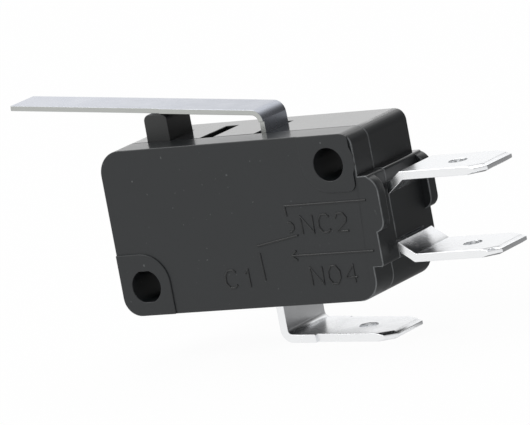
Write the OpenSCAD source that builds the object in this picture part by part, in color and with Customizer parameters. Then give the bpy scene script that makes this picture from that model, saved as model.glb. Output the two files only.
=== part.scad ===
// Lever-operated snap-action micro switch, single-pole double-throw, with push-on tab terminals.
// X runs along the case towards the terminals, Y from the front cover to the rear wall, Z up.
// The origin lies on the axis of the lower mounting hole, halfway through the case.
// Inside the modules, places are measured from the lower left front corner of the case.

/* [Case] */
// Length of the case without its terminal block
case_w = 27.8; // [27.2:0.1:30]
// Height of the case
case_h = 15.9; // [15.6:0.1:18]
// Depth of the case over the cover and the rear shell
case_d = 10.3; // [10:0.1:12]
// Depth of the front cover, from its face to the seam
cover_d = 3.15; // [2.9:0.05:3.3]
// Thickness of the outer walls
wall = 1.2; // [0.9:0.05:1.3]
// Corner radius at the top left
corner_tl = 2.3; // [1:0.1:3]
// Corner radius at the bottom left
corner_bl = 1.8; // [1:0.1:2.5]
// Corner radius at the bottom right
corner_br = 2.0; // [1:0.1:2.5]
// Corner radius at the top right
corner_tr = 1.2; // [0.6:0.1:2]
// Rounding of the rear edges
rear_r = 0.35; // [0.2:0.05:0.6]

/* [Terminal block] */
// How far the block under the two side terminals stands past the case
block_reach = 1.05; // [0.8:0.05:1.5]
// Depth of the block below the normally open strip
block_under = 1.4; // [1.1:0.05:1.8]
// Height of the block above the normally closed strip
block_over = 1.85; // [1.4:0.05:2.2]
// Rounding of the block's edges
block_r = 0.3; // [0.1:0.05:0.5]
// How far the insulating barriers stand past the case
barrier_reach = 1.9; // [1.6:0.05:3]
// Thickness of each barrier
barrier_t = 1.25; // [0.8:0.05:1.6]
// Depth of the barriers' lower edge below the middle between the two side strips
barrier_under = 0.85; // [0.3:0.05:1.6]
// Rounding of the barriers' lower corner
barrier_r = 1.1; // [0.5:0.05:1.6]
// Rounding of the barriers' upper corner
barrier_top_r = 1.6; // [0.5:0.05:1.8]

/* [Mounting holes] */
// Bore of the two mounting holes
hole_d = 3.1; // [2.8:0.05:3.3]
// Distance of each hole from the two nearest edges of the case
hole_inset = 2.8; // [2.6:0.05:3.2]
// Height across the two flats of the lower hole
hole_flats = 2.92; // [2.88:0.01:3.1]
// Wall of the boss around each hole
boss_wall = 1.15; // [0.9:0.05:1.2]
// Width of the raised pad around each hole
pad_w = 5.5; // [5:0.1:6]
// Height of the raised pad around the lower hole
pad_h = 5.95; // [5.4:0.05:6.4]
// Distance of the upper pad from the right end
pad_margin = 0.3; // [0.1:0.05:0.6]
// Rounding of the upper pad's lower right corner
pad_corner = 0.8; // [0.3:0.1:1.5]
// Rounding of the pad's inner corner
pad_r = 2.9; // [1:0.1:3.2]
// How far the pads stand out from the front face
pad_t = 0.15; // [0.1:0.05:0.3]

/* [Terminals] */
// Width of the push-on tabs
tab_w = 6.35; // [4.75:0.05:6.5]
// Thickness of the terminal strip
tab_t = 0.8; // [0.6:0.05:0.85]
// Locking hole in each tab
tab_hole_d = 1.8; // [1.2:0.1:2.4]
// Distance of the locking hole from the tab's end
tab_hole_setback = 4.4; // [4:0.1:5.5]
// Length of the cut corners at the tab's end
tab_corner_x = 1.05; // [0.6:0.05:1.8]
// Width of the cut corners at the tab's end
tab_corner_y = 0.85; // [0.6:0.05:1.8]
// Length of the thinned edge at the tab's end
tab_lead = 0.5; // [0.4:0.05:1.2]
// Thickness of the tab's end edge
tab_end_t = 0.35; // [0.2:0.05:0.5]
// Reach of the side tabs past the case
side_tab_reach = 12.2; // [10:0.1:14]
// Depth of the normally closed strip below the top, where it leaves the case
nc_root_depth = 6.0; // [5.95:0.05:6.1]
// Height of the normally open strip where it leaves the case
no_root_z = 4.5; // [4.4:0.05:4.6]
// Height that each side strip gains or loses in its crank
crank_rise = 1.2; // [0.6:0.05:1.8]
// Length of the crank
crank_run = 1.65; // [1.2:0.05:2.4]
// Straight length of the side strips before the crank
crank_start = 0.65; // [0.15:0.05:0.9]
// Width of the strips where they pass through the case
root_w = 4.9; // [4.2:0.05:5]
// Distance of the common strip from the left end, to its middle
common_x = 15.8; // [15:0.1:17]
// Width of the common strip where it leaves the case
common_w = 7.0; // [6.4:0.05:7.2]
// Depth of the common tab below the case, at its bend
common_drop = 3.5; // [3:0.1:5]
// Inner bend radius of the common strip
common_bend = 0.5; // [0.3:0.05:1]
// Downward tilt of the common tab
common_tilt = 2.9; // [0:0.1:5]
// Distance of the common tab's end from the left end of the case
common_end_x = 27.3; // [25:0.1:30]
// Distance of the common tab's shoulder from the bend's leg
common_shoulder = 2.9; // [2.4:0.1:4]

/* [Lever] */
// Thickness of the lever strip
lever_t = 0.5; // [0.4:0.05:0.6]
// Width of the lever
lever_w = 4.1; // [3.6:0.05:4.1]
// Extra width of the lever's inner half
lever_step = 0.2; // [0:0.05:0.3]
// Length of the lever's inner half, from the bend
lever_step_run = 10; // [6:0.5:14]
// Distance of the lever's pivot from the left end
lever_pivot_x = 16.65; // [16.4:0.05:17]
// Depth of the lever's pivot below the top
lever_pivot_depth = 2.3; // [2.1:0.05:2.5]
// Height of the lever's bend centre above the top
lever_bend_rise = 1.07; // [0.9:0.01:1.6]
// Inner bend radius of the lever
lever_bend = 0.7; // [0.5:0.05:1]
// Rise of the lever towards its tip at rest
lever_rise = 4.9; // [3:0.1:5.5]
// Length of the lever from its bend centre to the tip
lever_length = 26.7; // [18:0.1:40]
// Travel of the lever from rest to full press, in degrees
lever_press = 9.9; // [8:0.1:10.5]
// Distance between the lever's slot and the spare one
slot_pitch = 6; // [5.6:0.1:6.2]
// Free room in front of the lever in its slot
slot_spare = 0.4; // [0.2:0.05:0.6]
// Length of each trunnion ear past the strip
ear_reach = 0.7; // [0.5:0.05:0.9]
// Height of the ears
ear_h = 0.9; // [0.7:0.05:1]

/* [Plunger] */
// Distance of the plunger from the left end
plunger_x = 5.03; // [4.8:0.01:5.4]
// Width of the plunger along the case
plunger_w = 2.57; // [2.2:0.01:2.8]
// Depth of the plunger from front to rear
plunger_d = 4.1; // [3.4:0.05:4.1]
// Rounding of the plunger's top edges
plunger_crown = 0.65; // [0.4:0.05:1]
// Width that the flange adds on each side
flange_reach = 0.7; // [0.4:0.05:0.9]
// Height of the flange
flange_h = 1.1; // [0.8:0.05:1.4]

/* [Mechanism] */
// Thickness of the two inner arms
arm_t = 0.4; // [0.3:0.05:0.45]
// Width of the two inner arms
arm_w = 4.0; // [3.6:0.05:4.1]
// Distance of the actuating arm's pivot from the left end
actuator_pivot_x = 13.0; // [12.6:0.1:13.4]
// Height of the actuating arm's pivot above the middle between the two side strips
actuator_pivot_rise = 3.2; // [3:0.05:3.4]
// Rise of the actuating arm towards the plunger at rest
actuator_rise = 7.2; // [6:0.1:8]
// Height of the spring's front hook above the middle between the two side strips
hook_rise = 0.8; // [0.6:0.05:1]
// Distance of the contact arm's pivot from the left end
contact_pivot_x = 9.0; // [8.8:0.05:9.4]
// Distance of the contacts from the right end of the case
contact_inset = 4.4; // [4:0.05:4.8]
// Distance that the moving contact travels
contact_gap = 0.7; // [0.5:0.05:1]
// Radius of the contact heads
contact_r = 1.3; // [1:0.05:1.4]
// Height of each head of the moving contact
contact_head = 0.75; // [0.5:0.05:0.8]
// Radius of the contact rivets' shanks
shank_r = 0.6; // [0.4:0.05:0.8]
// Height and overhang of the fixed contacts' rivet heads
rivet_h = 0.12; // [0.05:0.01:0.15]
// Width of the contact arm's two rails
rail_w = 0.7; // [0.5:0.05:0.8]
// Distance of the spring's rear hook from the contacts
spring_inset = 5.4; // [5:0.1:5.8]
// Wire of the snap spring
spring_wire = 0.3; // [0.2:0.02:0.36]
// Mean radius of the snap spring's coils
spring_r = 0.85; // [0.6:0.05:0.9]
// Number of coils
spring_turns = 9; // [5:1:12]

/* [Clearances] */
// Gap around pieces that only sit in the case
seat_gap = 0.02; // [0.01:0.01:0.05]
// Gap between pieces that slide or turn
run_gap = 0.05; // [0.03:0.01:0.08]
// Radial gap of the pivots
pivot_gap = 0.06; // [0.02:0.01:0.1]
// Gap between closed contacts
touch_gap = 0.06; // [0.04:0.01:0.1]

/* [Hidden] */
$fn = 64;
// A little past a face, so that cuts go clean through
over = 0.5;
hole_r = hole_d / 2;
boss_r = hole_r + boss_wall;
// Material left around the slots and pivots in the webs
web_edge = 0.7;
upper_hole_x = case_w - hole_inset;
upper_hole_z = case_h - hole_inset;
nc_root_z = case_h - nc_root_depth;
middle_z = (nc_root_z + no_root_z) / 2;
block_x = case_w + block_reach;
block_top = nc_root_z + block_over;
block_bottom = no_root_z - block_under;
barrier_x = case_w + barrier_reach;
barrier_bottom = middle_z - barrier_under;
mid_y = case_d / 2;
top_z = case_h - wall;
cavity_x = case_w - wall;
// The plunger, lever and inner arms lie just behind the seam
mech_y = cover_d + run_gap;
mech_mid_y = mech_y + plunger_d / 2;
pivot_x = lever_pivot_x;
pivot_z = case_h - lever_pivot_depth;
bend_x = pivot_x + lever_t / 2 - lever_bend - lever_t;
bend_z = case_h + lever_bend_rise;
ear_r = norm([lever_t / 2, ear_h / 2]);
socket_r = ear_r + pivot_gap;
slot_right = pivot_x + lever_t / 2 + run_gap;
slot_w = lever_t + run_gap + lever_pivot_depth * sin(lever_press) + slot_spare;
slot_end_y = mech_y + plunger_d + web_edge;
slot_wall = web_edge + over;
actuator_z = middle_z + actuator_pivot_rise;
hook_z = middle_z + hook_rise;
hook_end = 2 * spring_wire;
contact_x = case_w - contact_inset;
spring_end_x = contact_x - spring_inset;
contact_reach = contact_x - contact_pivot_x;
contact_tilt = asin(contact_gap / 2 / contact_reach);
fixed_head = (nc_root_z - no_root_z - tab_t - contact_gap - arm_t) / 2 - contact_head - touch_gap;
tab_y0 = mid_y - tab_w / 2;
root_y0 = cover_d + seat_gap;
common_y0 = mid_y - common_w / 2;

// Places a model drawn from the case's lower left front corner in the part's own frame.
module from_corner() {
    translate([-hole_inset, -mid_y, -hole_inset]) children();
}

// Extrudes a profile drawn in the XZ plane from y0 to y1.
module slab(y0, y1) {
    translate([0, y1, 0]) rotate([90, 0, 0]) linear_extrude(y1 - y0) children();
}

// A round bar or hole along Y.
module bar(x, z, r, y0, y1) {
    translate([x, y1, z]) rotate([90, 0, 0]) cylinder(r = r, h = y1 - y0);
}

// A rectangle with its own radius at each corner: bottom left, bottom right, top right, top left.
module round_rect(x0, z0, x1, z1, r) {
    polygon([[x0 + r[0], z0], [x1 - r[1], z0], [x1, z0 + r[1]], [x1, z1 - r[2]],
        [x1 - r[2], z1], [x0 + r[3], z1], [x0, z1 - r[3]], [x0, z0 + r[0]]]);
    translate([x0 + r[0], z0 + r[0]]) circle(r[0]);
    translate([x1 - r[1], z0 + r[1]]) circle(r[1]);
    translate([x1 - r[2], z1 - r[2]]) circle(r[2]);
    translate([x0 + r[3], z1 - r[3]]) circle(r[3]);
}

// A bent piece of strip: the part of a ring between two directions less than 180 degrees apart.
module bend(r_in, t, a0, a1) {
    far = 4 * (r_in + t);
    intersection() {
        difference() {
            circle(r_in + t);
            circle(r_in);
        }
        polygon([[0, 0], far * [cos(a0), sin(a0)],
            far * [cos((a0 + a1) / 2), sin((a0 + a1) / 2)], far * [cos(a1), sin(a1)]]);
    }
}

// Outline of the housing, with its terminal block.
module case_outline() {
    round_rect(0, 0, case_w, case_h, [corner_bl, corner_br, corner_tr, corner_tl]);
    round_rect(case_w - wall - corner_br, block_bottom, block_x, block_top,
        [block_r, block_r, block_r, block_r]);
}

// Outline of the barrier that shields the side terminals.
module barrier_outline() {
    round_rect(case_w - wall, barrier_bottom, barrier_x, block_top,
        [barrier_r, barrier_r, barrier_top_r, barrier_r]);
}

// Room for the mechanism: the inside of the walls, less the two bosses.
module cavity_outline() {
    difference() {
        round_rect(wall, wall, cavity_x, top_z, [0.5, 0.8, 0.5, 1.1]);
        translate([hole_inset, hole_inset]) circle(boss_r);
        square([hole_inset, hole_inset + boss_r]);
        square([hole_inset + boss_r, hole_inset]);
        translate([upper_hole_x, upper_hole_z]) circle(boss_r);
        translate([upper_hole_x, upper_hole_z - boss_r]) square(2 * boss_r);
        translate([upper_hole_x - boss_r, upper_hole_z]) square(2 * boss_r);
    }
}

// The two mounting holes: the lower one has two flats, the upper one is round.
module mounting_holes() {
    y0 = -pad_t - over;
    y1 = case_d + over;
    intersection() {
        bar(hole_inset, hole_inset, hole_r, y0, y1);
        translate([0, y0, hole_inset - hole_flats / 2]) cube([2 * hole_inset, y1 - y0, hole_flats]);
    }
    bar(upper_hole_x, upper_hole_z, hole_r, y0, y1);
}

// A raised pad that fills the corner around each mounting hole.
module pads() {
    intersection() {
        case_outline();
        union() {
            round_rect(-pad_r, -pad_r, pad_w, pad_h, [0.1, 0.1, pad_r, 0.1]);
            round_rect(case_w - pad_margin - pad_w, case_h - pad_w, case_w - pad_margin, case_h + pad_r,
                [pad_r, pad_corner, 0.1, 0.1]);
        }
    }
}

// Solid web under the top that holds the lever's slot, its ears and the actuating arm's seat.
module slot_web() {
    round_rect(actuator_pivot_x, actuator_z - web_edge, slot_right + slot_wall, case_h - wall / 2,
        [0.3, web_edge, 0.1, 0.1]);
}

// Web around the spare slot, which is a copy of the lever's slot without the lever.
module spare_web() {
    round_rect(slot_right - slot_pitch - slot_w - web_edge, pivot_z - web_edge,
        slot_right - slot_pitch + web_edge, case_h - wall / 2, [0.3, 0.3, 0.1, 0.1]);
}

// Slot for the lever's leg, open at the top, with its right-hand wall at x.
module lever_slot(x) {
    translate([x - slot_w, cover_d - over, pivot_z]) cube([slot_w, slot_end_y - cover_d + over, case_h]);
}

// Round socket in which the lever's ears turn.
module ear_socket() {
    bar(pivot_x, pivot_z, socket_r, mech_y - ear_reach - run_gap, mech_y + lever_w + ear_reach + run_gap);
}

// Passages for the terminal strips, a little larger than the strips.
module terminal_slots() {
    for (z = [nc_root_z, no_root_z]) {
        translate([contact_x, root_y0 - seat_gap, z - tab_t / 2 - seat_gap])
            cube([case_w, root_w + 2 * seat_gap, tab_t + 2 * seat_gap]);
    }
    translate([common_x - tab_t / 2 - seat_gap, common_y0 - seat_gap, -over])
        cube([tab_t + 2 * seat_gap, common_w + 2 * seat_gap, wall + 2 * over]);
}

// Space inside the rounded rear edges.
module inside_rear_edges() {
    reach = barrier_x + 2 * over;
    translate([-over, 0, 0]) rotate([90, 0, 90]) linear_extrude(reach)
        round_rect(0, 0, case_d, case_h, [0.1, rear_r, rear_r, 0.1]);
}

// Rear shell: back wall, side walls, webs and bosses, open towards the cover.
module case() {
    color("#3a3c3e") from_corner() difference() {
        union() {
            difference() {
                intersection() {
                    slab(cover_d, case_d) case_outline();
                    inside_rear_edges();
                    linear_extrude(case_h) round_rect(0, 0, block_x, case_d, [0.1, 0.1, rear_r, rear_r]);
                }
                slab(cover_d - over, case_d - wall) cavity_outline();
            }
            slab(case_d - barrier_t, case_d) barrier_outline();
            slab(cover_d, case_d - wall / 2) slot_web();
            slab(cover_d, case_d - wall / 2) spare_web();
        }
        mounting_holes();
        lever_slot(slot_right);
        lever_slot(slot_right - slot_pitch);
        ear_socket();
        terminal_slots();
        plunger_well();
        bar(actuator_pivot_x, actuator_z, arm_t / 2 + run_gap, cover_d - over, mech_y + arm_w + run_gap);
    }
}

// Opening in the top for the plunger.
module plunger_well() {
    translate([plunger_x - plunger_w / 2 - run_gap, cover_d - over, pivot_z])
        cube([plunger_w + 2 * run_gap, plunger_d + 2 * run_gap + over, case_h]);
}

// Front cover: face, side walls, pads and bosses.
module front_cover() {
    color("#3c3e40") from_corner() difference() {
        union() {
            difference() {
                slab(0, cover_d) case_outline();
                slab(wall, cover_d + over) cavity_outline();
            }
            slab(-pad_t, 0) pads();
            slab(0, barrier_t) barrier_outline();
            slab(wall / 2, cover_d) slot_web();
        }
        mounting_holes();
        ear_socket();
        terminal_slots();
    }
}

// Plunger: a rounded pin with a flange that keeps it in the case.
module plunger() {
    crown_x = plunger_x + plunger_w / 2 - plunger_crown;
    lever_under = bend_z + lever_bend / cos(lever_rise) + (bend_x - crown_x) * tan(lever_rise);
    crown_top = lever_under + plunger_crown - (plunger_crown + run_gap) / cos(lever_rise);
    foot_r = plunger_w / 2;
    arm_rise = (actuator_pivot_x - plunger_x) * tan(actuator_rise);
    arm_top = actuator_z + arm_t / 2 / cos(actuator_rise) + arm_rise;
    foot_z = arm_top + foot_r * (1 / cos(actuator_rise) - 1) + run_gap;
    color("#46484a") from_corner() {
        slab(mech_y, mech_y + plunger_d) {
            translate([plunger_x, foot_z + foot_r]) circle(foot_r);
            round_rect(plunger_x - plunger_w / 2, foot_z + foot_r, plunger_x + plunger_w / 2, crown_top,
                [0.1, 0.1, plunger_crown, plunger_crown]);
            translate([plunger_x - plunger_w / 2 - flange_reach, top_z - run_gap - flange_h])
                square([plunger_w + 2 * flange_reach, flange_h]);
        }
    }
}

// Side profile of the lever: leg, bend and arm, of one strip.
module lever_profile() {
    translate([pivot_x - lever_t / 2, pivot_z - ear_h / 2]) square([lever_t, bend_z - pivot_z + ear_h / 2]);
    translate([bend_x, bend_z]) {
        bend(lever_bend, lever_t, 0, 90 - lever_rise);
        rotate(180 - lever_rise) translate([0, -lever_bend - lever_t]) square([lever_length, lever_t]);
    }
}

// Lever: one bent strip with two ears at its foot, and a free end a little narrower than its root.
module lever() {
    narrow_x = bend_x - lever_step_run;
    color("#c9ccd0") from_corner() {
        difference() {
            slab(mech_y - lever_step, mech_y + lever_w) lever_profile();
            translate([narrow_x - 2 * lever_length, mech_y - 2 * lever_step, case_h])
                cube([2 * lever_length, 2 * lever_step, case_h]);
            translate([pivot_x - lever_t, mech_y - 2 * lever_step, 0])
                cube([2 * lever_t, 2 * lever_step, bend_z]);
        }
        slab(mech_y - ear_reach, mech_y + lever_w + ear_reach)
            translate([pivot_x - lever_t / 2, pivot_z - ear_h / 2]) square([lever_t, ear_h]);
    }
}

// Side profile of a tab that runs from x0 to x1 along z = 0, thinned at its end.
module tab_profile(x0, x1) {
    h = tab_t / 2;
    e = tab_end_t / 2;
    polygon([[x0, -h], [x1 - tab_lead, -h], [x1, -e], [x1, e], [x1 - tab_lead, h], [x0, h]]);
}

// Plan of a tab from x0 to x1, w wide about y, with cut corners at its end.
module tab_plan(x0, x1, y, w) {
    h = w / 2;
    c = h - tab_corner_y;
    translate([0, y]) polygon([[x0, -h], [x1 - tab_corner_x, -h], [x1, -c],
        [x1, c], [x1 - tab_corner_x, h], [x0, h]]);
}

// Cutters that thin the cut corners of a tab w wide, whose end edge is at x = 0.
module corner_bevels(w) {
    h = tab_t / 2;
    e = tab_end_t / 2;
    angle = atan2(tab_corner_x, tab_corner_y);
    d = (w / 2 - tab_corner_y) * sin(angle);
    for (side = [-1, 1]) {
        rotate([0, 0, side * angle]) slab(-w, w) {
            for (face = [0, 1]) {
                mirror([0, face]) polygon([[d - tab_lead, h], [d - tab_lead, tab_t], [d + e, tab_t],
                    [d + e, e - e * (h - e) / tab_lead]]);
            }
        }
    }
}

// A side terminal: an inner strip, a crank and a push-on tab; up is 1 or -1.
module side_terminal(root_z, up) {
    h = tab_t / 2;
    e = tab_end_t / 2;
    root_x = block_x + crank_start;
    tab_x = root_x + crank_run;
    end_x = case_w + side_tab_reach;
    inner_x = contact_x - contact_r - seat_gap - over / 2;
    tab_z = root_z + up * crank_rise;
    mitre = up * h * tan(atan(crank_rise / crank_run) / 2);
    difference() {
        intersection() {
            slab(tab_y0, tab_y0 + tab_w) polygon([[inner_x, root_z - h], [root_x + mitre, root_z - h],
                [tab_x + mitre, tab_z - h], [end_x - tab_lead, tab_z - h], [end_x, tab_z - e],
                [end_x, tab_z + e], [end_x - tab_lead, tab_z + h], [tab_x - mitre, tab_z + h],
                [root_x - mitre, root_z + h], [inner_x, root_z + h]]);
            linear_extrude(case_h) {
                translate([inner_x - over, root_y0]) square([root_x + crank_run - inner_x, root_w]);
                tab_plan(root_x, end_x, mid_y, tab_w);
            }
        }
        translate([end_x - tab_hole_setback, mid_y, tab_z - tab_t]) cylinder(d = tab_hole_d, h = 2 * tab_t);
        translate([contact_x, mech_mid_y, root_z - tab_t]) cylinder(r = shank_r + seat_gap, h = 2 * tab_t);
        translate([end_x, mid_y, tab_z]) corner_bevels(tab_w);
    }
}

// Normally closed terminal, above the moving contact.
module nc_terminal() {
    color("#d9dbdc") from_corner() side_terminal(nc_root_z, 1);
}

// Normally open terminal, below the moving contact.
module no_terminal() {
    color("#d9dbdc") from_corner() side_terminal(no_root_z, -1);
}

// Side profile of the common strip where it shows: a leg, a bend and a tab that tilts down.
module common_profile(bend_cx, bend_cz) {
    h = tab_t / 2;
    tab_len = (common_end_x - bend_cx + (common_bend + h) * sin(common_tilt)) / cos(common_tilt);
    translate([common_x - h, bend_cz]) square([tab_t, wall - bend_cz]);
    translate([bend_cx, bend_cz]) {
        bend(common_bend, tab_t, 180, 270 - common_tilt);
        rotate(-common_tilt) translate([0, -common_bend - h]) tab_profile(0, tab_len);
    }
}

// Common terminal: a tab below the case, a leg through its floor and two prongs that carry the contact arm.
module common_terminal() {
    h = tab_t / 2;
    bend_cx = common_x + h + common_bend;
    bend_cz = -common_drop + common_bend + h;
    shoulder_x = common_x + h + common_shoulder;
    floor_z = wall + 2 * tab_t;
    prong_x = contact_pivot_x - tab_t;
    tip_z = bend_cz - (common_bend + h) / cos(common_tilt) - (common_end_x - bend_cx) * tan(common_tilt);
    prong_top = middle_z + arm_t + run_gap;
    color("#d9dbdc") from_corner() difference() {
        union() {
            intersection() {
                slab(common_y0, common_y0 + common_w) common_profile(bend_cx, bend_cz);
                translate([0, 0, -case_h]) linear_extrude(2 * case_h) {
                    translate([0, common_y0]) square([shoulder_x, common_w]);
                    tab_plan(common_x, common_end_x + seat_gap, mid_y, tab_w);
                }
            }
            slab(mech_y, mech_y + arm_w) {
                translate([common_x - h, wall - over]) square([tab_t, floor_z - wall + over]);
                translate([prong_x, floor_z - tab_t]) square([common_x + h - prong_x, tab_t]);
                translate([prong_x, floor_z - tab_t]) square([tab_t, prong_top - floor_z + tab_t]);
            }
        }
        translate([common_end_x - tab_hole_setback, mid_y, bend_cz - common_drop])
            cylinder(d = tab_hole_d, h = common_drop + tab_t);
        translate([prong_x - over, mech_y + rail_w, floor_z + over])
            cube([tab_t + 2 * over, arm_w - 2 * rail_w, case_h]);
        bar(contact_pivot_x, middle_z, arm_t / 2 + run_gap, 0, case_d);
        translate([common_end_x, mid_y, tip_z]) rotate([0, common_tilt, 0]) corner_bevels(tab_w);
    }
}

// A fixed contact: a rivet with its head towards the moving contact; up is 1 or -1.
module fixed_contact(root_z, up) {
    translate([contact_x, mech_mid_y, root_z]) mirror([0, 0, up > 0 ? 0 : 1]) {
        translate([0, 0, -tab_t / 2]) cylinder(r = shank_r, h = tab_t + rivet_h);
        translate([0, 0, tab_t / 2]) cylinder(r = shank_r + rivet_h, h = rivet_h);
        translate([0, 0, -tab_t / 2 - fixed_head]) cylinder(r = contact_r, h = fixed_head);
    }
}

// Contact riveted under the normally closed strip.
module nc_contact() {
    color("#c8c8c2") from_corner() fixed_contact(nc_root_z, 1);
}

// Contact riveted on the normally open strip.
module no_contact() {
    color("#c8c8c2") from_corner() fixed_contact(no_root_z, -1);
}

// Turns a model drawn along the contact arm to the arm's place at rest.
module on_contact_arm() {
    translate([contact_pivot_x, mech_y, middle_z]) rotate([0, -contact_tilt, 0]) children();
}

// Contact arm: a forked blade whose two rails turn in the prongs of the common terminal.
module contact_arm() {
    fork_end = spring_end_x - contact_pivot_x - web_edge;
    color("#c98f52") from_corner() on_contact_arm() difference() {
        union() {
            slab(0, arm_w) translate([0, -arm_t / 2]) square([contact_reach + contact_r + over, arm_t]);
            bar(0, 0, arm_t / 2, 0, arm_w);
        }
        translate([-over, rail_w, -over]) cube([fork_end + over, arm_w - 2 * rail_w, 2 * over]);
        translate([spring_end_x - contact_pivot_x, mech_mid_y - mech_y, -over])
            cylinder(d = spring_wire + 0.2, h = 2 * over);
        translate([contact_reach, mech_mid_y - mech_y, -over]) cylinder(r = shank_r + seat_gap, h = 2 * over);
    }
}

// Moving contact: a rivet with a head on each side of the arm.
module moving_contact() {
    color("#c8c8c2") from_corner() on_contact_arm() translate([contact_reach, mech_mid_y - mech_y, 0]) {
        cylinder(r = shank_r, h = arm_t, center = true);
        for (side = [0, 1]) {
            mirror([0, 0, side]) translate([0, 0, arm_t / 2]) cylinder(r = contact_r, h = contact_head);
        }
    }
}

// Actuating arm: turns in the case's web, is pressed by the plunger and pulls the spring's front hook.
module actuating_arm() {
    leg_x = plunger_x - plunger_w / 4;
    run = (actuator_pivot_x - leg_x) / cos(actuator_rise);
    corner_z = actuator_z + (actuator_pivot_x - leg_x) * tan(actuator_rise);
    color("#b9bcc0") from_corner() difference() {
        slab(mech_y, mech_y + arm_w) {
            translate([actuator_pivot_x, actuator_z]) {
                circle(arm_t / 2);
                rotate(180 - actuator_rise) translate([0, -arm_t / 2]) square([run, arm_t]);
            }
            translate([leg_x, corner_z]) circle(arm_t / 2);
            translate([leg_x - arm_t / 2, hook_z - arm_t - hook_end])
                square([arm_t, corner_z - hook_z + arm_t + hook_end]);
        }
        translate([leg_x - over, mech_mid_y, hook_z]) rotate([0, 90, 0])
            cylinder(d = spring_wire + 0.2, h = 2 * over);
    }
}

// Points of the spring's wire, each with the direction in which its section is laid out.
function spring_path() =
    let (
        x0 = plunger_x - plunger_w / 4,
        x1 = spring_end_x,
        z1 = middle_z + (spring_end_x - contact_pivot_x) * tan(contact_tilt) + arm_t / 2 + spring_wire,
        behind = arm_t / 2 + 0.1 + spring_wire / 2,
        straight = 1.2,
        steps = 12 * spring_turns,
        slope = (z1 - hook_z) / (x1 - x0)
    )
    concat(
        [[[x0 - behind, mech_mid_y, hook_z - hook_end], 0], [[x0 - behind, mech_mid_y, hook_z], 0]],
        [for (i = [0:steps])
            let (
                t = i / steps,
                a = 360 * spring_turns * t,
                r = spring_r * min(1, 12 * t, 12 * (1 - t)),
                x = x0 + straight + (x1 - x0 - 2 * straight) * t
            )
            [[x, mech_mid_y + r * cos(a), hook_z + slope * (x - x0) + r * sin(a)], a]],
        [[[x1, mech_mid_y, z1], 0], [[x1, mech_mid_y, z1 - 1], 0]]
    );

// A tube of n sides along a path of points with section directions.
module tube(path, r, n) {
    count = len(path);
    points = [for (i = [0:count - 1])
        let (
            before = path[max(i - 1, 0)][0],
            after = path[min(i + 1, count - 1)][0],
            along = (after - before) / norm(after - before),
            out = [0, cos(path[i][1]), sin(path[i][1])],
            flat = out - (out * along) * along,
            u = flat / norm(flat),
            v = cross(along, u)
        )
        for (k = [0:n - 1]) path[i][0] + r * (cos(360 * k / n) * u + sin(360 * k / n) * v)];
    sides = [for (i = [0:count - 2]) for (k = [0:n - 1])
        let (a = i * n + k, b = i * n + (k + 1) % n)
        each [[b, a, a + n], [b, a + n, b + n]]];
    polyhedron(points, concat(sides, [[for (k = [0:n - 1]) k]],
        [[for (k = [n - 1:-1:0]) (count - 1) * n + k]]), convexity = 10);
}

// Tension spring that pulls the contact arm over its dead centre.
module snap_spring() {
    color("#aeb2b6") from_corner() tube(spring_path(), spring_wire / 2, 6);
}

case();
front_cover();
plunger();
lever();
common_terminal();
nc_terminal();
no_terminal();
nc_contact();
no_contact();
contact_arm();
moving_contact();
actuating_arm();
snap_spring();
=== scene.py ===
"""Dresses a snap-action micro switch: housing, plunger, lever, tabs and mechanism."""
import logging
import math
from collections.abc import Callable
from dataclasses import dataclass, field, fields
from enum import Enum

import bmesh
import bpy
from mathutils import Matrix, Vector

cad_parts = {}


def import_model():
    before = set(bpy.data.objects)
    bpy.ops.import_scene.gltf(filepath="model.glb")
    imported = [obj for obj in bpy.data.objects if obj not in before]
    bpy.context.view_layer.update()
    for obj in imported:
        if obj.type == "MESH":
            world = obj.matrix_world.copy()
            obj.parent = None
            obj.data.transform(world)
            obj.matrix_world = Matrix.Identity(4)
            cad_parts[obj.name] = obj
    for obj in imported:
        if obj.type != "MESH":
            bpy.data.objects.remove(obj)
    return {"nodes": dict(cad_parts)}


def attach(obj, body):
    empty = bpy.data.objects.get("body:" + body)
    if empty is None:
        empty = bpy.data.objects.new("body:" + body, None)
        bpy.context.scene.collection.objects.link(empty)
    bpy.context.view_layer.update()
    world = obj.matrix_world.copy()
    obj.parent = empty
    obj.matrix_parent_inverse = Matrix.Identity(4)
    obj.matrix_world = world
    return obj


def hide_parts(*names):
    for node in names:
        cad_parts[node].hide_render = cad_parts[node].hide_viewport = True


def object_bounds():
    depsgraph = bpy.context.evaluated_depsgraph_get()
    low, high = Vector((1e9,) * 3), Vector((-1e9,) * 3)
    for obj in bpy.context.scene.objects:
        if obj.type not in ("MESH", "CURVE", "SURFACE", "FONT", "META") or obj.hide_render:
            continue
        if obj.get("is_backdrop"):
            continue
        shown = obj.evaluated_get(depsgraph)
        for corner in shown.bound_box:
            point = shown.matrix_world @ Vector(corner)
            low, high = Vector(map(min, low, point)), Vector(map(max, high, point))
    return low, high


LOG = logging.getLogger("micro_switch")
MM = 0.001
# The row frame's origin, measured in mm from the housing's lower left front corner.
CORNER = Vector((2.8, 5.15, 2.8))

# The housing's eased edges get a painted highlight, a paler grey line, from here to the terminal
# end.
EDGE_HIGHLIGHT_FROM_MM = 25.5
# The raised pads and the hole rims stand in front of this depth, and get no painted highlight.
EDGE_HIGHLIGHT_BEHIND_MM = -0.02

# Corners closer than this are one corner.
WELD_MM = 0.0005
# Faces that turn by less than this are one flat face.
COPLANAR_DEG = 0.5
# Faces across an eased edge.
EASE_STEPS = 3
# How much sharper than the eased edges an edge has to be to stay sharp.
SHARP_MARGIN_DEG = 5.0
# Normal weight at which a broad face keeps its own normal along an eased edge.
LARGEST_FACE_WINS = 100

# Refractive index of PBT and of acetal, near enough.
PLASTIC_INDEX = 1.52
# Cosines between which a moulded wall turns into a top.
TOP_FROM, TOP_FULL = 0.6, 0.95
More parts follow.
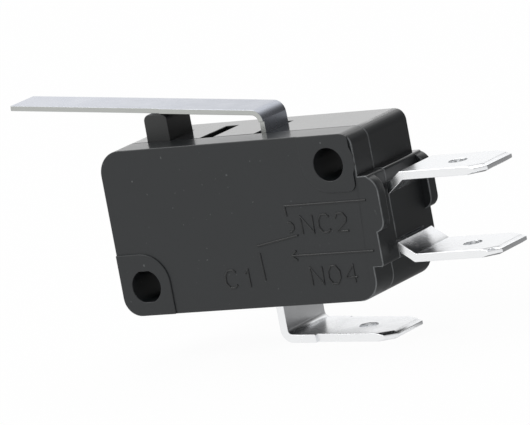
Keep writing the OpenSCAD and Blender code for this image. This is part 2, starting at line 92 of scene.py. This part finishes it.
# Noise levels between which a speck appears; most of the face lies below them.
SPECK_FROM, SPECK_FULL = 0.76, 0.83
# How strongly a speck covers the face.
SPECK_COVER = 0.6
# Cosines between which a strip's rolled face turns into its blanked edge, whose colour is also
# painted shade on every face that faces front or back.
BLANKED_SHADE_FROM, BLANKED_SHADE_FULL = 0.7, 0.95
# Noise levels between which a cloud on metal goes from clear to full.
CLOUD_FROM, CLOUD_FULL = 0.3, 0.7
# Share of the clouds in the metal's dulling.
CLOUD_SHARE = 0.5
# Depth of the rolling lines.
LINE_DEPTH_MM = 0.01

WHITE = (1.0, 1.0, 1.0, 1.0)


class Grain(Enum):
    """Direction in which a strip was rolled or drawn, as the stretch of its lines."""

    ALONG_X = (0.04, 1.0, 1.0)
    ALONG_Z = (1.0, 1.0, 0.04)


def linear(code: str) -> tuple[float, float, float, float]:
    """Turns an sRGB hex colour into linear RGBA.

    Args:
        code: Six hex digits after a hash sign.

    Returns:
        The colour with full alpha.
    """
    parts = [int(code[i:i + 2], 16) / 255 for i in (1, 3, 5)]
    values = [c / 12.92 if c <= 0.04045 else ((c + 0.055) / 1.055) ** 2.4 for c in parts]
    return (values[0], values[1], values[2], 1.0)


def place(x: float, y: float, z: float) -> Vector:
    """Turns a point in mm from the housing's corner into metres in the row frame.

    Args:
        x: Distance along the housing.
        y: Depth behind the front face.
        z: Height.

    Returns:
        The point in metres.
    """
    return (Vector((x, y, z)) - CORNER) * MM


def add_node(tree: bpy.types.NodeTree, kind: str, settings: dict | None = None,
             inputs: dict | None = None) -> bpy.types.Node:
    """Adds a shader node with its settings, values and links.

    Args:
        tree: Node tree that gets the node.
        kind: Node type name.
        settings: Properties of the node.
        inputs: Socket names or numbers, each with a value or an output socket to link from.

    Returns:
        The new node.
    """
    node = tree.nodes.new(kind)
    for name, value in (settings or {}).items():
        setattr(node, name, value)
    for name, value in (inputs or {}).items():
        if isinstance(value, bpy.types.NodeSocket):
            tree.links.new(value, node.inputs[name])
        else:
            node.inputs[name].default_value = value
    return node


def noise(tree: bpy.types.NodeTree, where: bpy.types.NodeSocket, size_mm: float,
          detail: float) -> bpy.types.NodeSocket:
    """Adds a noise pattern.

    Args:
        tree: Node tree that gets the node.
        where: Point at which the pattern is read.
        size_mm: Real size of one blotch.
        detail: Number of finer octaves.

    Returns:
        The noise level.
    """
    return add_node(tree, "ShaderNodeTexNoise", None,
                    {"Vector": where, "Scale": 1 / (size_mm * MM), "Detail": detail}).outputs[0]


def ramp(tree: bpy.types.NodeTree, value: bpy.types.NodeSocket, start: float, end: float,
         low: float = 0.0, high: float = 1.0, kind: str = "LINEAR") -> bpy.types.NodeSocket:
    """Adds a clamped ramp.

    Args:
        tree: Node tree that gets the node.
        value: What runs along the ramp.
        start: Value at which the ramp begins.
        end: Value at which it ends.
        low: Result at the beginning.
        high: Result at the end.
        kind: Interpolation name.

    Returns:
        The result.
    """
    return add_node(tree, "ShaderNodeMapRange", {"interpolation_type": kind},
                    {"Value": value, "From Min": start, "From Max": end,
                     "To Min": low, "To Max": high}).outputs[0]


def blend(tree: bpy.types.NodeTree, share: bpy.types.NodeSocket,
          first: bpy.types.NodeSocket | tuple, second: tuple) -> bpy.types.NodeSocket:
    """Adds a blend of two colours.

    Args:
        tree: Node tree that gets the node.
        share: Share of the second colour.
        first: First colour.
        second: Second colour.

    Returns:
        The blended colour.
    """
    return add_node(tree, "ShaderNodeMix", {"data_type": "RGBA"},
                    {0: share, 6: first, 7: second}).outputs[2]


def choose(tree: bpy.types.NodeTree, share: bpy.types.NodeSocket,
           otherwise: bpy.types.NodeSocket, when: bpy.types.NodeSocket | float
           ) -> bpy.types.NodeSocket:
    """Adds a choice between two levels.

    Args:
        tree: Node tree that gets the node.
        share: One where the second level holds, and zero elsewhere.
        otherwise: First level.
        when: Second level.

    Returns:
        The chosen level.
    """
    return add_node(tree, "ShaderNodeMix", None, {0: share, 2: otherwise, 3: when}).outputs[0]


def calculate(tree: bpy.types.NodeTree, operation: str,
              *values: bpy.types.NodeSocket | float, clamp: bool = False) -> bpy.types.NodeSocket:
    """Adds a calculation.

    Args:
        tree: Node tree that gets the node.
        operation: Operation name.
        values: What it works on, in order.
        clamp: Whether the result is kept between zero and one.

    Returns:
        The result.
    """
    return add_node(tree, "ShaderNodeMath", {"operation": operation, "use_clamp": clamp},
                    dict(enumerate(values))).outputs[0]


def new_material(name: str) -> tuple[bpy.types.Material, bpy.types.NodeTree]:
    """Makes an empty node material.

    Args:
        name: Name of the material.

    Returns:
        The material and its node tree.
    """
    material = bpy.data.materials.new(name)
    material.use_nodes = True
    material.node_tree.nodes.clear()
    return material, material.node_tree


def surface_facts(tree: bpy.types.NodeTree) -> tuple[bpy.types.NodeSocket, bpy.types.Node]:
    """Adds what every finish starts from.

    Args:
        tree: Node tree that gets the nodes.

    Returns:
        The point on the object, and a node that gives the normal's X, Y and Z.
    """
    where = add_node(tree, "ShaderNodeTexCoord").outputs["Object"]
    normal = add_node(tree, "ShaderNodeNewGeometry").outputs["Normal"]
    return where, add_node(tree, "ShaderNodeSeparateXYZ", None, {0: normal})


@dataclass(frozen=True)
class MouldedPlastic:
    """Glass-filled thermoplastic, injection moulded: spark-eroded satin faces, polished edges."""

    name: str
    colour: str
    mottle: str
    face_roughness: float
    top_roughness: float
    # Clear skin on the tops, which makes them mirror what stands on them.
    top_skin: float
    skin_roughness: float = 0.12
    # How much rougher the melt's flow marks are than the rest.
    flow_roughness: float = 0.06
    # Spark erosion leaves pits about 0.12 mm apart; drawn at 0.2 mm so that they show.
    pit_mm: float = 0.2
    pit_strength: float = 0.12
    pit_depth_mm: float = 0.03
    # Slow colour drift from the melt's flow.
    flow_mm: float = 4.0
    # Pale nicks and lint that the dull face holds.
    speck: str = "#6a6d6e"
    speck_mm: float = 0.45

    def build(self) -> bpy.types.Material:
        """Builds the material: a dull dark face, with a glossier top.

        Returns:
            The material.
        """
        material, tree = new_material(self.name)
        where, axis = surface_facts(tree)
        flow = noise(tree, where, self.flow_mm, 3.0)
        pits = noise(tree, where, self.pit_mm, 2.0)
        specks = ramp(tree, noise(tree, where, self.speck_mm, 1.0), SPECK_FROM, SPECK_FULL,
                      high=SPECK_COVER)
        colour = blend(tree, flow, linear(self.colour), linear(self.mottle))
        specked = blend(tree, specks, colour, linear(self.speck))
        polish = ramp(tree, calculate(tree, "ABSOLUTE", axis.outputs["Z"]), TOP_FROM, TOP_FULL,
                      self.face_roughness, self.top_roughness)
        skin = ramp(tree, axis.outputs["Z"], TOP_FROM, TOP_FULL, 0.0, self.top_skin)
        patchy = calculate(tree, "MULTIPLY_ADD", flow, self.flow_roughness, polish)
        bump = add_node(tree, "ShaderNodeBump", None,
                        {"Height": pits, "Strength": self.pit_strength,
                         "Distance": self.pit_depth_mm * MM})
        shader = add_node(tree, "ShaderNodeBsdfPrincipled", None,
                          {"Base Color": specked, "Roughness": patchy,
                           "Normal": bump.outputs[0], "IOR": PLASTIC_INDEX,
                           "Coat Weight": skin, "Coat Roughness": self.skin_roughness})
        add_node(tree, "ShaderNodeOutputMaterial", None, {"Surface": shader.outputs[0]})
        return material


@dataclass(frozen=True)
class MetalStrip:
    """Rolled or plated metal strip: fine lines along the rolling direction under a bright skin."""

    name: str
    colour: str
    dull: str
    # Blanked edges are torn rather than rolled, so they have their own colour, which is also
    # painted shade: it goes on every face that faces front or back.
    edge: str
    roughness: float
    spread: float
    grain: Grain
    # Rolling lines are some 0.02 mm apart; drawn at 0.12 mm so that they show.
    line_mm: float = 0.12
    line_strength: float = 0.03
    # Handling leaves cloudy patches a few millimetres across.
    cloud_mm: float = 2.5
    # A darkening of the colour that grows along X between these places, and how strong it gets.
    darkening_from_mm: float = -8.0
    darkening_to_mm: float = 11.0
    darkening: float = 0.0

    def build(self) -> bpy.types.Material:
        """Builds the material: a bright satin metal whose gloss changes in soft clouds.

        Returns:
            The material.
        """
        material, tree = new_material(self.name)
        where, axis = surface_facts(tree)
        stretch = add_node(tree, "ShaderNodeMapping", None,
                           {"Vector": where, "Scale": self.grain.value})
        lines = noise(tree, stretch.outputs[0], self.line_mm, 3.0)
        cloud = noise(tree, where, self.cloud_mm, 4.0)
        along = add_node(tree, "ShaderNodeSeparateXYZ", None, {0: where})
        darkening = ramp(tree, along.outputs["X"], self.darkening_from_mm * MM, self.darkening_to_mm * MM,
                    high=self.darkening)
        dulled = calculate(tree, "MULTIPLY_ADD", cloud, CLOUD_SHARE, darkening, clamp=True)
        rolled = blend(tree, dulled, linear(self.colour), linear(self.dull))
        # Faces turned to the front or back take the edge colour: painted shade.
        blanked_and_shaded = ramp(tree, calculate(tree, "ABSOLUTE", axis.outputs["Y"]),
                       BLANKED_SHADE_FROM, BLANKED_SHADE_FULL)
        gloss = ramp(tree, cloud, CLOUD_FROM, CLOUD_FULL,
                     self.roughness, self.roughness + self.spread)
        bump = add_node(tree, "ShaderNodeBump", None,
                        {"Height": lines, "Strength": self.line_strength,
                         "Distance": LINE_DEPTH_MM * MM})
        shader = add_node(tree, "ShaderNodeBsdfPrincipled", None,
                          {"Base Color": blend(tree, blanked_and_shaded, rolled, linear(self.edge)),
                           "Roughness": gloss, "Normal": bump.outputs[0], "Metallic": 1.0})
        add_node(tree, "ShaderNodeOutputMaterial", None, {"Surface": shader.outputs[0]})
        return material


@dataclass(frozen=True)
class Finishes:
    """Every finish of the switch, built once."""

    # Charcoal PBT: near black in itself, lifted by its own sheen.
    case_plastic: MouldedPlastic = MouldedPlastic(
        "charcoal_pbt", "#1b1e20", "#202325",
        face_roughness=0.46, top_roughness=0.14, top_skin=0.6)
    # The cover's narrow top is rougher than the shell's, so it looks duller beside it.
    cover_plastic: MouldedPlastic = MouldedPlastic(
        "charcoal_pbt_cover", "#1b1e20", "#202325",
        face_roughness=0.46, top_roughness=0.26, top_skin=0.35,
        pit_mm=0.35, pit_strength=0.3, pit_depth_mm=0.02)
    # Painted highlight: the outer eased edges near the terminal end get a paler, broken grey line.
    painted_edge_highlight: MouldedPlastic = MouldedPlastic(
        "pbt_edge_painted_highlight", "#26292b", "#8b8e90",
        face_roughness=0.3, top_roughness=0.25, top_skin=0.3, flow_mm=0.9)
    # Moulded marks come off the polished tool a little glossier than the face around them; their
    # darker colour is painted shade, as of an engraved groove.
    mark_plastic: MouldedPlastic = MouldedPlastic(
        "polished_pbt_mark_painted_shade", "#141617", "#191b1c",
        face_roughness=0.3, top_roughness=0.3, top_skin=0.0)
    # Acetal: a touch lighter and waxier than the case.
    plunger_plastic: MouldedPlastic = MouldedPlastic(
        "grey_acetal", "#262828", "#2d2e2e",
        face_roughness=0.4, top_roughness=0.3, top_skin=0.0)
    # Stainless strip: bright, cool and satin, duller towards its root.
    # Its darker edge colour is painted shade.
    stainless_strip: MetalStrip = MetalStrip(
        "stainless_strip", "#d0d4de", "#a9adb7", "#b9bbb8",
        roughness=0.2, spread=0.08, grain=Grain.ALONG_X, darkening=0.5)
    # Tin plate over brass: the brightest metal here, soft rather than mirror-like.
    tinned_brass: MetalStrip = MetalStrip(
        "tin_plated_brass", "#f5f6f8", "#e4e6e8", "#f6f7f8",
        roughness=0.2, spread=0.1, grain=Grain.ALONG_X, line_mm=0.3, line_strength=0.06)
    # Silver alloy: warm white and dull from its pressing.
    silver_alloy: MetalStrip = MetalStrip(
        "silver_contact_alloy", "#e6e4de", "#d8d5cc", "#dddad2",
        roughness=0.3, spread=0.1, grain=Grain.ALONG_Z)
    # Beryllium copper: a springy orange-brown strip.
    copper_strip: MetalStrip = MetalStrip(
        "beryllium_copper", "#d79a6b", "#c98a5c", "#c28757",
        roughness=0.25, spread=0.12, grain=Grain.ALONG_X)
    # Drawn spring wire: greyer, with lines along its length.
    spring_wire: MetalStrip = MetalStrip(
        "drawn_spring_wire", "#b9bcc0", "#a9adb2", "#b1b4b9",
        roughness=0.28, spread=0.1, grain=Grain.ALONG_X)

    def build(self) -> dict[str, bpy.types.Material]:
        """Returns one material for each finish, by its name here."""
        return {finish.name: getattr(self, finish.name).build() for finish in fields(self)}


@dataclass
class Bench:
    """What every sub-assembly needs to build its pieces."""

    nodes: dict[str, bpy.types.Object]
    materials: dict[str, bpy.types.Material]

    def finish_piece(self, piece: bpy.types.Object, body: str, slot: str,
                     finishes: tuple[str, ...] = ()) -> None:
        """Gives a new piece its body and finish.

        Args:
            piece: The new object, already in place.
            body: CAD body that it rides on.
            slot: Material slot of the record.
            finishes: Finishes of the piece where they differ from the slot's own.
        """
        piece.data.materials.clear()
        for finish in finishes or (slot,):
            piece.data.materials.append(self.materials[finish])
        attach(piece, body)
        LOG.info("built %s on %s", piece.name, body)

    def dress_node(self, node: str, slot: str) -> None:
        """Gives a CAD node that stays in view its finish.

        Args:
            node: Name of the CAD node.
            slot: Material slot of the record.
        """
        solid = self.nodes[node]
        if not solid.material_slots:
            solid.data.materials.append(self.materials[slot])
        for holder in solid.material_slots:
            holder.material = self.materials[slot]
        LOG.info("dressed %s", node)

    @staticmethod
    def edges_to_ease(work: bmesh.types.BMesh, radius_mm: float,
                      shows: Callable[[Vector], bool],
                      least_angle: float) -> list[bmesh.types.BMEdge]:
        """Finds the outer edges that are sharp and have room for the radius beside them.

        Args:
            work: Mesh of the piece.
            radius_mm: Radius of the eased edges.
            shows: Tells whether an edge whose middle lies there, in mm from the corner, shows.
            least_angle: Edges sharper than this, in degrees, are found.

        Returns:
            The edges.
        """
        return [edge for edge in work.edges
                if len(edge.link_faces) == 2 and edge.is_convex
                and edge.calc_face_angle(0.0) > math.radians(least_angle)
                and min(face.calc_area() for face in edge.link_faces)
                > radius_mm * MM * edge.calc_length()
                and shows((edge.verts[0].co + edge.verts[1].co) / 2 / MM + CORNER)]

    def eased(self, node: str, name: str, body: str, slot: str, radius_mm: float,
              shows: Callable[[Vector], bool], least_angle: float = 35.0,
              finishes: tuple[str, ...] = ()) -> None:
        """Makes a piece like the CAD node with its outer edges eased, and puts it in its place.

        Args:
            node: CAD node that the piece stands for.
            name: Name of the piece.
            body: CAD body that it rides on.
            slot: Material slot of the record.
            radius_mm: Radius of the eased edges.
            shows: Tells whether an edge whose middle lies there, in mm from the corner, shows.
            least_angle: Edges sharper than this, in degrees, are eased.
            finishes: Finish of the faces, and, where a second one is named, of the eased edges near
                the terminal end, which get a painted highlight.
        """
        mesh = self.nodes[node].data.copy()
        mesh.name = name
        work = bmesh.new()
        work.from_mesh(mesh)
        bmesh.ops.remove_doubles(work, verts=work.verts, dist=WELD_MM * MM)
        bmesh.ops.dissolve_limit(work, angle_limit=math.radians(COPLANAR_DEG),
                                 verts=work.verts, edges=work.edges)
        sharp = self.edges_to_ease(work, radius_mm, shows, least_angle)
        rounded = bmesh.ops.bevel(work, geom=sharp, offset=radius_mm * MM, offset_type="OFFSET",
                                  segments=EASE_STEPS, profile=0.5, affect="EDGES",
                                  clamp_overlap=False)
        work.faces.index_update()
        middles = {face.index: face.calc_center_median() / MM + CORNER
                   for face in rounded["faces"]}
        # Eased faces near the terminal end take the second finish, a painted highlight.
        painted_highlight_faces = [number for number, middle in middles.items()
                if len(finishes) > 1 and middle.x > EDGE_HIGHLIGHT_FROM_MM and middle.y > EDGE_HIGHLIGHT_BEHIND_MM]
        work.to_mesh(mesh)
        work.free()
        if mesh.has_custom_normals:
            mesh.attributes.remove(mesh.attributes["custom_normal"])
        mesh.shade_smooth()
        mesh.set_sharp_from_angle(angle=math.radians(least_angle + SHARP_MARGIN_DEG))
        piece = bpy.data.objects.new(name, mesh)
        bpy.context.scene.collection.objects.link(piece)
        flat = piece.modifiers.new("flat_faces", "WEIGHTED_NORMAL")
        flat.keep_sharp = True
        flat.weight = LARGEST_FACE_WINS
        self.finish_piece(piece, body, slot, finishes)
        for number in painted_highlight_faces:
            mesh.polygons[number].material_index = 1
        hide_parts(node)


# Strokes of the plain marks, each a list of points in a unit square.
STROKES: dict[str, list[list[tuple[float, float]]]] = {
    "N": [[(0, 0), (0, 1), (1, 0), (1, 1)]],
    "C": [[(0.95, 0.85), (0.7, 1), (0.3, 1), (0, 0.7), (0, 0.3), (0.3, 0), (0.7, 0),
           (0.95, 0.15)]],
    "O": [[(0.3, 0), (0, 0.3), (0, 0.7), (0.3, 1), (0.7, 1), (1, 0.7), (1, 0.3), (0.7, 0),
           (0.3, 0)]],
    "1": [[(0.3, 0.75), (0.6, 1), (0.6, 0)]],
    "2": [[(0, 0.75), (0.2, 1), (0.7, 1), (0.95, 0.75), (0.85, 0.5), (0, 0), (1, 0)]],
    "4": [[(0.75, 0), (0.75, 1), (0, 0.3), (1, 0.3)]],
}


@dataclass
class ContactMarks:
    """Contact diagram and terminal marks, moulded as fine ribs on the front face."""

    rib_mm: float = 0.1
    # Faces round a quarter of a rib.
    rib_steps: int = 3
    letter_h: float = 1.7
    letter_w: float = 1.25
    spacing: float = 1.85
    lines: tuple = (
        # Lines from the two fixed contacts to their terminals.
        ((19.4, 9.5), (28.2, 9.5)),
        ((19.2, 4.75), (28.1, 4.7)),
        # Moving contact, and the line down to the common terminal.
        ((15.7, 5.9), (20.3, 6.65)),
        ((15.9, 2.6), (15.8, 5.2)),
        # Drop and hook of the normally closed contact.
        ((19.4, 9.5), (19.45, 8.5)),
        ((19.45, 7.95), (19.75, 7.9), (20.0, 7.65), (20.0, 7.3), (19.75, 7.05), (19.45, 7.0)),
        # Arrowhead of the normally open contact.
        ((19.8, 5.2), (19.2, 4.75), (19.8, 4.3)),
    )
    words: tuple = (("NC2", 20.9, 6.75), ("NO4", 20.95, 1.85), ("C1", 11.6, 2.1))

    def strokes(self) -> list[list[Vector]]:
        """Lays every stroke on the front face.

        Returns:
            Each stroke's points in metres.
        """
        found = [[place(x, 0.0, z) for x, z in line] for line in self.lines]
        for word, x0, z0 in self.words:
            for number, letter in enumerate(word):
                left = x0 + number * self.spacing
                for stroke in STROKES[letter]:
                    found.append([place(left + u * self.letter_w, 0.0, z0 + v * self.letter_h)
                                  for u, v in stroke])
        return found

    def build(self, bench: Bench) -> None:
        """Builds the marks as one curve piece, half sunk into the face.

        Args:
            bench: Shared nodes and materials.
        """
        curve = bpy.data.curves.new("contact_marks", "CURVE")
        curve.dimensions = "3D"
        curve.bevel_depth = self.rib_mm * MM
        curve.bevel_resolution = self.rib_steps
        curve.use_fill_caps = True
        for points in self.strokes():
            spline = curve.splines.new("POLY")
            spline.points.add(len(points) - 1)
            for target, point in zip(spline.points, points):
                target.co = (*point, 1)
        piece = bpy.data.objects.new("contact_marks", curve)
        bpy.context.scene.collection.objects.link(piece)
        # The marks' darker finish is painted shade.
        bench.finish_piece(piece, "housing", "case_plastic", ("mark_plastic",))


@dataclass
class Housing:
    """Two-part moulded housing: front cover and rear shell, each with eased edges."""

    edge_mm: float = 0.1
    # Edges this close to the outside of the housing are eased; the cavity's lie deeper.
    skin_mm: float = 0.75
    # The rear edges are already round in the solid.
    rear_mm: float = 0.5
    # The upper pad's step runs so close to the end that its edge there stays sharp.
    pad_rise_mm: float = 0.15
    size_mm: tuple[float, float, float] = (27.8, 10.3, 15.9)

    def on_skin(self, point: Vector) -> bool:
        """Tells whether an edge lies on the outside of the housing.

        Args:
            point: Middle of the edge, in mm from the corner.

        Returns:
            Whether it does.
        """
        length, depth, height = self.size_mm
        if point.y > depth - self.rear_mm:
            return False
        if point.y < -self.pad_rise_mm / 2 and point.x > length - self.skin_mm:
            return False
        near_side = min(point.x, point.z, length - point.x, height - point.z) < self.skin_mm
        return near_side or point.y < self.skin_mm / 2

    def build(self, bench: Bench) -> None:
        """Builds both halves.

        Args:
            bench: Shared nodes and materials.
        """
        # The second finish of each half paints a highlight on its eased edges near the terminal
        # end.
        bench.eased("front_cover", "cover_moulding", "housing", "case_plastic", self.edge_mm,
                    self.on_skin, finishes=("cover_plastic", "painted_edge_highlight"))
        bench.eased("case", "shell_moulding", "housing", "case_plastic", self.edge_mm,
                    self.on_skin, finishes=("case_plastic", "painted_edge_highlight"))
        ContactMarks().build(bench)


@dataclass
class Actuation:
    """Plunger and lever."""

    plunger_edge_mm: float = 0.1
    lever_edge_mm: float = 0.04
    # The housing's top, above which both pieces show.
    top_mm: float = 15.9

    def above(self, point: Vector) -> bool:
        """Tells whether a point, in mm from the corner, stands out of the housing's top."""
        return point.z > self.top_mm

    def build(self, bench: Bench) -> None:
        """Builds the two moving pieces that show.

        Args:
            bench: Shared nodes and materials.
        """
        bench.eased("plunger", "plunger_pin", "plunger", "plunger_plastic", self.plunger_edge_mm,
                    self.above)
        bench.eased("lever", "lever_strip", "lever", "stainless_strip", self.lever_edge_mm,
                    self.above)


@dataclass
class Terminals:
    """Three push-on terminals, blanked from plated strip, so that their edges are barely broken."""

    edge_mm: float = 0.06
    # The terminal block's end, past which the side tabs show.
    block_mm: float = 28.9

    def outside(self, point: Vector) -> bool:
        """Tells whether a point, in mm from the corner, lies on a strip's visible length."""
        return point.x > self.block_mm or point.z < 0

    def build(self, bench: Bench) -> None:
        """Builds the three terminals.

        Args:
            bench: Shared nodes and materials.
        """
        for name in ("common", "nc", "no"):
            bench.eased(f"{name}_terminal", f"{name}_tab", "housing", "tinned_brass",
                        self.edge_mm, self.outside)


@dataclass
class Mechanism:
    """Snap mechanism inside the housing: its CAD solids keep their shape and get their finish."""

    finishes: dict[str, str] = field(default_factory=lambda: {
        "nc_contact": "silver_alloy", "no_contact": "silver_alloy",
        "moving_contact": "silver_alloy", "contact_arm": "copper_strip",
        "actuating_arm": "stainless_strip", "snap_spring": "spring_wire"})

    def build(self, bench: Bench) -> None:
        """Dresses the inner nodes.

        Args:
            bench: Shared nodes and materials.
        """
        for node, slot in self.finishes.items():
            bench.dress_node(node, slot)


@dataclass(frozen=True)
class Lamp:
    """Square soft lamp that faces the switch: place and side in metres, power in watts."""

    name: str
    spot: tuple[float, float, float]
    side: float
    power: float

    def hang(self) -> None:
        """Hangs the lamp."""
        data = bpy.data.lights.new(self.name, "AREA")
        data.size = self.side
        data.energy = self.power
        lamp = bpy.data.objects.new(self.name, data)
        lamp.location = self.spot
        lamp.rotation_euler = (-Vector(self.spot)).to_track_quat("-Z", "Y").to_euler()
        bpy.context.scene.collection.objects.link(lamp)


@dataclass
class Studio:
    """Pale floor, white surroundings, soft lamps and the camera."""

    azimuth: float = 32.68
    elevation: float = 9.99
    roll: float = 10.61
    distance_mm: float = 697.5
    lens_mm: float = 507.5
    sensor_mm: float = 36.0
    nearest_m: float = 0.01
    target_mm: tuple[float, float, float] = (13.9, 5.15, 7.95)

    floor_m: float = 3.0
    floor_gap_mm: float = 0.1
    paper: str = "#f2f2f2"
    # Share of the paper that glows by itself in view and in reflections.
    paper_glow: float = 0.96
    # Paper in reflections: bright in front, dim beyond these places to the right and behind.
    paper_bright: float = 0.95
    paper_dim: float = 0.28
    dim_x_mm: tuple[float, float] = (8.0, 20.0)
    dim_y_mm: tuple[float, float] = (2.0, 4.0)

    # The room's level in front, and the directions over which it rises to white.
    front_level: float = 0.75
    front_y: tuple[float, float] = (-0.95, -0.2)
    # The room's level to the right, and the directions over which it falls to that.
    right_level: float = 0.1
    right_x: tuple[float, float] = (0.0, 0.5)
    # The near right is lighter than the far right.
    near_level: float = 0.8
    near_y: tuple[float, float] = (-0.6, 0.1)
    # The room as a light on dull surfaces.
    soft_level: float = 0.8

    lamps: tuple[Lamp, ...] = (Lamp("key", (-0.35, -0.4, 0.6), 0.5, 2.2),
                               Lamp("top", (-0.1, 0.3, 0.7), 0.6, 1.6))

    def camera(self) -> None:
        """Places a long lens in front, to the right and a little above, turned about its axis."""
        az, el, roll = (math.radians(a) for a in (self.azimuth, self.elevation, self.roll))
        back = Vector((math.sin(az) * math.cos(el), -math.cos(az) * math.cos(el), math.sin(el)))
        level = Vector((math.cos(az), math.sin(az), 0))
        upright = back.cross(level)
        right = level * math.cos(roll) - upright * math.sin(roll)
        up = upright * math.cos(roll) + level * math.sin(roll)
        data = bpy.data.cameras.new("camera")
        data.lens = self.lens_mm
        data.sensor_width = self.sensor_mm
        data.clip_start = self.nearest_m
        camera = bpy.data.objects.new("camera", data)
        turn = Matrix((right, up, back)).transposed().to_4x4()
        spot = place(*self.target_mm) + back * self.distance_mm * MM
        camera.matrix_world = Matrix.Translation(spot) @ turn
        bpy.context.scene.collection.objects.link(camera)
        bpy.context.scene.camera = camera

    def white_paper(self) -> bpy.types.Material:
        """Builds the floor's paper: white in view with a faint shadow, dim behind in reflections.

        Returns:
            The material.
        """
        material, tree = new_material("white_paper")
        ray = add_node(tree, "ShaderNodeLightPath")
        spot = add_node(tree, "ShaderNodeSeparateXYZ", None,
                        {0: add_node(tree, "ShaderNodeNewGeometry").outputs["Position"]})
        # Ends and legs reflect the dim paper, and front edges the bright one.
        right = ramp(tree, spot.outputs["X"], *(x * MM for x in self.dim_x_mm))
        behind = ramp(tree, spot.outputs["Y"], *(y * MM for y in self.dim_y_mm))
        mirrored = ramp(tree, calculate(tree, "MULTIPLY", right, behind), 0.0, 1.0,
                        self.paper_bright, self.paper_dim)
        level = choose(tree, ray.outputs["Is Camera Ray"], mirrored, 1.0)
        seen = calculate(tree, "MAXIMUM", ray.outputs["Is Camera Ray"],
                         ray.outputs["Is Glossy Ray"])
        share = calculate(tree, "MULTIPLY", seen, self.paper_glow)
        matt = add_node(tree, "ShaderNodeBsdfDiffuse", None, {"Color": linear(self.paper)})
        glow = add_node(tree, "ShaderNodeEmission", None, {"Color": WHITE, "Strength": level})
        both = add_node(tree, "ShaderNodeMixShader", None,
                        {0: share, 1: matt.outputs[0], 2: glow.outputs[0]})
        add_node(tree, "ShaderNodeOutputMaterial", None, {"Surface": both.outputs[0]})
        return material

    def floor(self, low: float) -> None:
        """Lays the floor.

        Args:
            low: Height of the floor in metres.
        """
        half = self.floor_m / 2
        mesh = bpy.data.meshes.new("floor")
        mesh.from_pydata([(-half, -half, low), (half, -half, low),
                          (half, half, low), (-half, half, low)], [], [(0, 1, 2, 3)])
        mesh.materials.append(self.white_paper())
        floor = bpy.data.objects.new("floor", mesh)
        bpy.context.scene.collection.objects.link(floor)
        floor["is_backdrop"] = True

    def surroundings(self) -> None:
        """Makes the world white in view, and a room with a dark right side otherwise."""
        world = bpy.data.worlds.new("studio")
        world.use_nodes = True
        tree = world.node_tree
        tree.nodes.clear()
        ray = add_node(tree, "ShaderNodeLightPath")
        way = add_node(tree, "ShaderNodeSeparateXYZ", None,
                       {0: add_node(tree, "ShaderNodeTexCoord").outputs["Generated"]})
        front = ramp(tree, way.outputs["Y"], *self.front_y, self.front_level, 1.0)
        side = ramp(tree, way.outputs["X"], *self.right_x, 1.0, self.right_level, "SMOOTHSTEP")
        near = ramp(tree, way.outputs["Y"], *self.near_y, self.near_level, 0.0, "SMOOTHSTEP")
        room = calculate(tree, "MULTIPLY", front, calculate(tree, "MAXIMUM", side, near))
        soft = calculate(tree, "MULTIPLY", side, self.soft_level)
        lit = choose(tree, ray.outputs["Is Glossy Ray"], soft, room)
        strength = choose(tree, ray.outputs["Is Camera Ray"], lit, 1.0)
        glow = add_node(tree, "ShaderNodeBackground", None,
                        {"Color": WHITE, "Strength": strength})
        add_node(tree, "ShaderNodeOutputWorld", None, {"Surface": glow.outputs[0]})
        bpy.context.scene.world = world

    def build(self, low: float) -> None:
        """Builds the whole studio.

        Args:
            low: Lowest point of the switch in metres.
        """
        self.camera()
        self.floor(low - self.floor_gap_mm * MM)
        self.surroundings()
        for lamp in self.lamps:
            lamp.hang()
        bpy.context.scene.view_settings.view_transform = "Standard"


def plain_box() -> list[list[float]]:
    """Returns the object's box as plain lists of numbers."""
    return [[float(value) for value in corner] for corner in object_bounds()]


def main() -> None:
    """Builds the switch and its studio."""
    logging.basicConfig(level=logging.INFO, format="%(name)s: %(message)s")
    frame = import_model()
    cad_box = plain_box()
    bench = Bench(frame["nodes"], Finishes().build())
    for assembly in (Housing(), Actuation(), Terminals(), Mechanism()):
        LOG.info("%s", type(assembly).__name__)
        assembly.build(bench)
    Studio().build(cad_box[0][2])
    bpy.context.view_layer.update()


if __name__ == "__main__":
    main()
